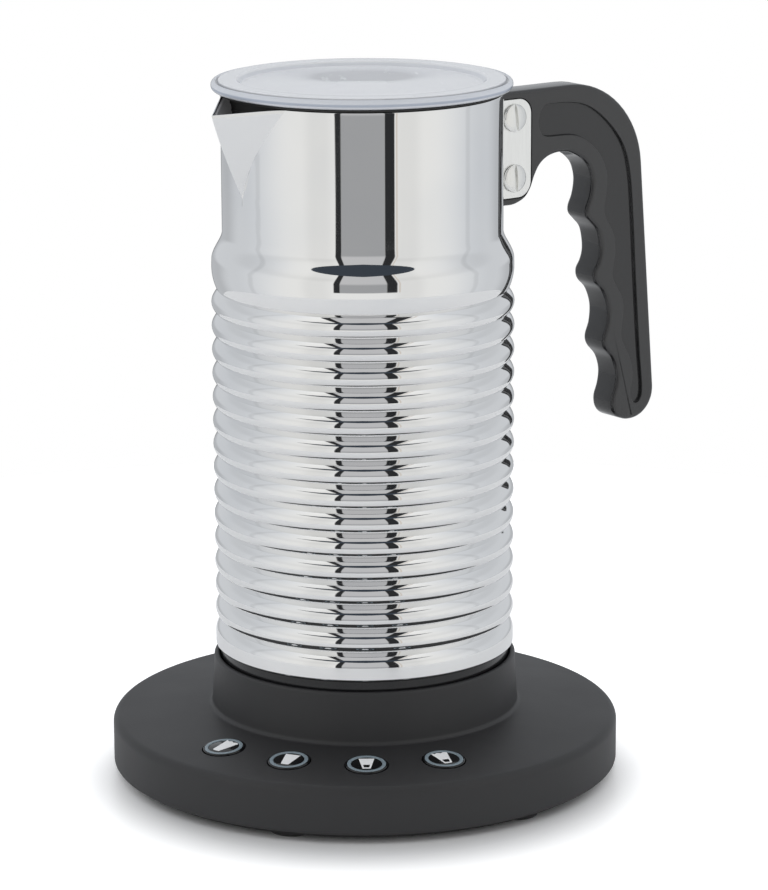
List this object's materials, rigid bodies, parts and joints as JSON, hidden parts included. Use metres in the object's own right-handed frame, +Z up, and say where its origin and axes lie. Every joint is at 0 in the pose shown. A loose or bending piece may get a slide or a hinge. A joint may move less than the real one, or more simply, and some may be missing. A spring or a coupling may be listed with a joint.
{
  "type": "milk frother",
  "caption": "Ribbed steel jug with spout, lid, finger-grip handle and magnetic whisk, standing in the collar of a round induction base with push buttons.",
  "frame": {"origin": "on the axis of the round base, at the underside of its central hub, level with the feet", "axes": "+Z up along the axis of base and jug, -Y towards the middle of the front, +X to the right; the handle points 36.5 degrees from +X towards +Y"},
  "size_m": [0.1588, 0.144, 0.1976],
  "materials": {
    "base_shell": "soft-touch matt, fine even grain",
    "base_plate": "moulded, fine texture",
    "rubber": "matt",
    "inner_plastic": "moulded",
    "copper_winding": "enamelled litz wire",
    "motor_steel": "turned",
    "board": "solder mask",
    "switch_plastic": "moulded",
    "ferrite": "sintered",
    "magnet": "nickel plated",
    "fastener_steel": "satin, turned head",
    "mirror_steel": "mirror polished stainless steel",
    "cup_coating": "non-stick coating",
    "skirt_plastic": "fine texture",
    "bracket_steel": "satin",
    "handle_plastic": "satin moulded, glossy edge",
    "whisk_plastic": "moulded",
    "whisk_wire": "drawn wire",
    "lid_plastic": "clear moulded plastic",
    "button_gloss": "gloss with a printed symbol",
    "button_ring": "light guide ring"
  },
  "bodies": {
    "base": {"base_cover": "base_shell", "jug_seat": "base_plate", "base_bottom": "base_plate", "foot_1": "rubber", "foot_2": "rubber", "foot_3": "rubber", "foot_4": "rubber", "foot_5": "rubber", "foot_6": "rubber", "base_screw_1": "fastener_steel", "base_screw_2": "fastener_steel", "base_screw_3": "fastener_steel", "base_screw_4": "fastener_steel", "cord_outlet": "rubber", "coil_carrier": "inner_plastic", "induction_coil": "copper_winding", "ferrite_bar_1": "ferrite", "ferrite_bar_2": "ferrite", "ferrite_bar_3": "ferrite", "ferrite_bar_4": "ferrite", "motor_can": "motor_steel", "circuit_board": "board", "switch_1": "switch_plastic", "switch_2": "switch_plastic", "switch_3": "switch_plastic", "switch_4": "switch_plastic"},
    "drive_rotor": {"motor_shaft": "motor_steel", "drive_disc": "inner_plastic", "drive_magnet_1": "magnet", "drive_magnet_2": "magnet"},
    "jug": {"jug_shell": "mirror_steel", "inner_cup": "cup_coating", "cup_floor": "cup_coating", "jug_skirt": "skirt_plastic", "heating_disc": "motor_steel", "whisk_spindle": "motor_steel", "handle_bracket": "bracket_steel", "handle": "handle_plastic", "handle_screw_upper": "fastener_steel", "handle_screw_lower": "fastener_steel", "handle_nut_upper": "fastener_steel", "handle_nut_lower": "fastener_steel"},
    "whisk_rotor": {"whisk_hub": "whisk_plastic", "whisk_magnet_1": "magnet", "whisk_magnet_2": "magnet"},
    "whisk_top": {"whisk_frame": "whisk_wire"},
    "lid": {"lid_cap": "lid_plastic", "lid_seal": "rubber"},
    "button_1": {"button_cap_1": "button_gloss", "button_ring_1": "button_ring"},
    "button_2": {"button_cap_2": "button_gloss", "button_ring_2": "button_ring"},
    "button_3": {"button_cap_3": "button_gloss", "button_ring_3": "button_ring"},
    "button_4": {"button_cap_4": "button_gloss", "button_ring_4": "button_ring"}
  },
  "joints": [
    {"name": "jug_lift", "type": "slide", "parent": "base", "child": "jug", "axis": [0, 0, 1], "range_m": [0, 0.08]},
    {"name": "lid_lift", "type": "slide", "parent": "jug", "child": "lid", "axis": [0, 0, 1], "range_m": [0, 0.04]},
    {"name": "drive_spin", "type": "hinge", "parent": "base", "child": "drive_rotor", "pos_m": [0, 0, 0.0168], "axis": [0, 0, 1], "continuous": true},
    {"name": "whisk_spin", "type": "hinge", "parent": "jug", "child": "whisk_rotor", "pos_m": [0, 0, 0.034], "axis": [0, 0, 1], "continuous": true},
    {"name": "whisk_pull", "type": "slide", "parent": "whisk_rotor", "child": "whisk_top", "axis": [0, 0, 1], "range_m": [0, 0.1]},
    {"name": "button_1_press", "type": "slide", "parent": "base", "child": "button_1", "axis": [0.0726, 0.0752, -0.9945], "range_m": [0, 0.0006], "stiffness_N_per_m": 1200},
    {"name": "button_2_press", "type": "slide", "parent": "base", "child": "button_2", "axis": [0.0392, 0.0969, -0.9945], "range_m": [0, 0.0006], "stiffness_N_per_m": 1200},
    {"name": "button_3_press", "type": "slide", "parent": "base", "child": "button_3", "axis": [0, 0.1045, -0.9945], "range_m": [0, 0.0006], "stiffness_N_per_m": 1200},
    {"name": "button_4_press", "type": "slide", "parent": "base", "child": "button_4", "axis": [-0.0392, 0.0969, -0.9945], "range_m": [0, 0.0006], "stiffness_N_per_m": 1200}
  ],
  "couplings": [
    {"joint": "whisk_spin", "follows": "drive_spin", "ratio": 1}
  ]
}
